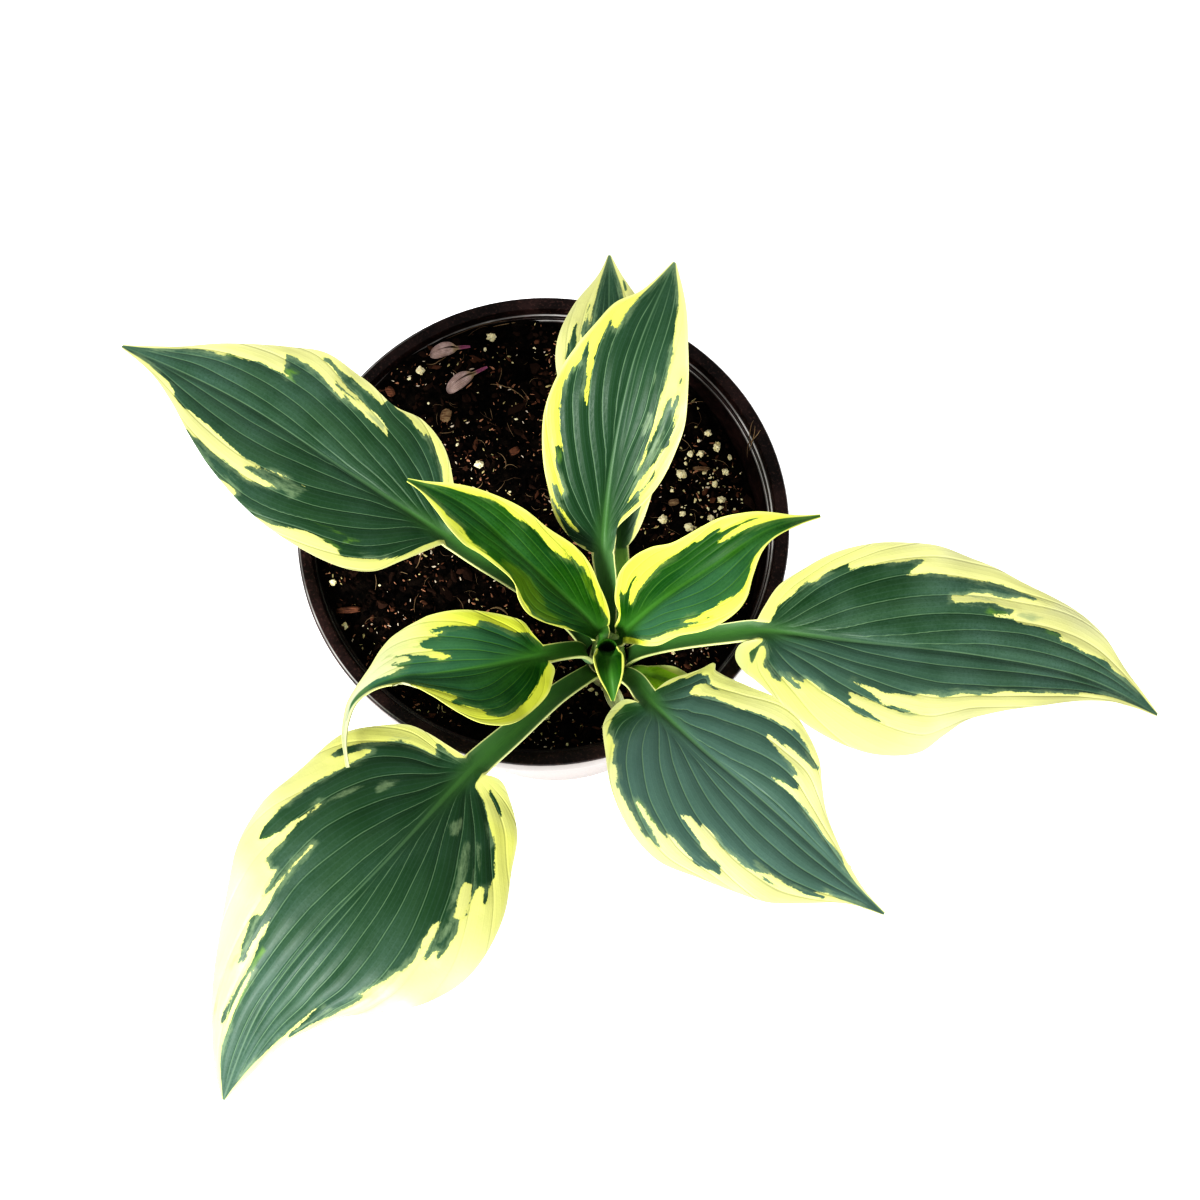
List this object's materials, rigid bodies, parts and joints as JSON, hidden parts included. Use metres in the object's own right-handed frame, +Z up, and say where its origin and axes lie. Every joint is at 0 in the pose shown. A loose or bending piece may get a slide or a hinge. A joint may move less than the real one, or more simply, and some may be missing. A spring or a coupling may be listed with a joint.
{
  "type": "potted hosta plant",
  "caption": "Small hosta with blue-green, cream-edged leaves arching from a shoot set off-centre in a round tapered nursery pot of dark soil.",
  "frame": {"origin": "centre of the pot's flat base, on the surface it stands on", "axes": "+Z up through the pot's mouth; -Y is the side over which the two longest front leaves hang; +X is to the right seen from that side"},
  "size_m": [0.3264, 0.2677, 0.2431],
  "materials": {
    "pot_plastic": "satin moulded plastic, off-white outside and black inside and over the rim",
    "soil_mix": "rough moist peat and bark mix",
    "leaf": "satin, blue-green with cream streaked edges and sunken pale veins",
    "pale_shoot": "satin pale green-white plant tissue",
    "perlite": "matt porous white grains",
    "bark": "matt red-brown wood fibre",
    "dry_bract": "matt dried mauve-brown, pink at the point"
  },
  "bodies": {
    "root": {"pot": "pot_plastic", "soil": "soil_mix", "shoot": "pale_shoot", "left_leaf": "leaf", "back_tall_leaf": "leaf", "back_low_leaf": "leaf", "inner_left_leaf": "leaf", "inner_right_leaf": "leaf", "right_leaf": "leaf", "front_right_leaf": "leaf", "front_left_leaf": "leaf", "curled_leaf": "leaf", "unfurling_leaf": "leaf", "low_leaf": "leaf", "sheath": "pale_shoot", "perlite_01": "perlite", "perlite_02": "perlite", "perlite_03": "perlite", "perlite_04": "perlite", "perlite_05": "perlite", "perlite_06": "perlite", "perlite_07": "perlite", "perlite_08": "perlite", "perlite_09": "perlite", "perlite_10": "perlite", "perlite_11": "perlite", "perlite_12": "perlite", "perlite_13": "perlite", "perlite_14": "perlite", "perlite_15": "perlite", "perlite_16": "perlite", "perlite_17": "perlite", "perlite_18": "perlite", "bark_chip_1": "bark", "bark_chip_2": "bark", "bark_chip_3": "bark", "bark_chip_4": "bark", "bark_chip_5": "bark", "bark_chip_6": "bark", "fallen_bract_upper": "dry_bract", "fallen_bract_lower": "dry_bract"}
  },
  "joints": []
}
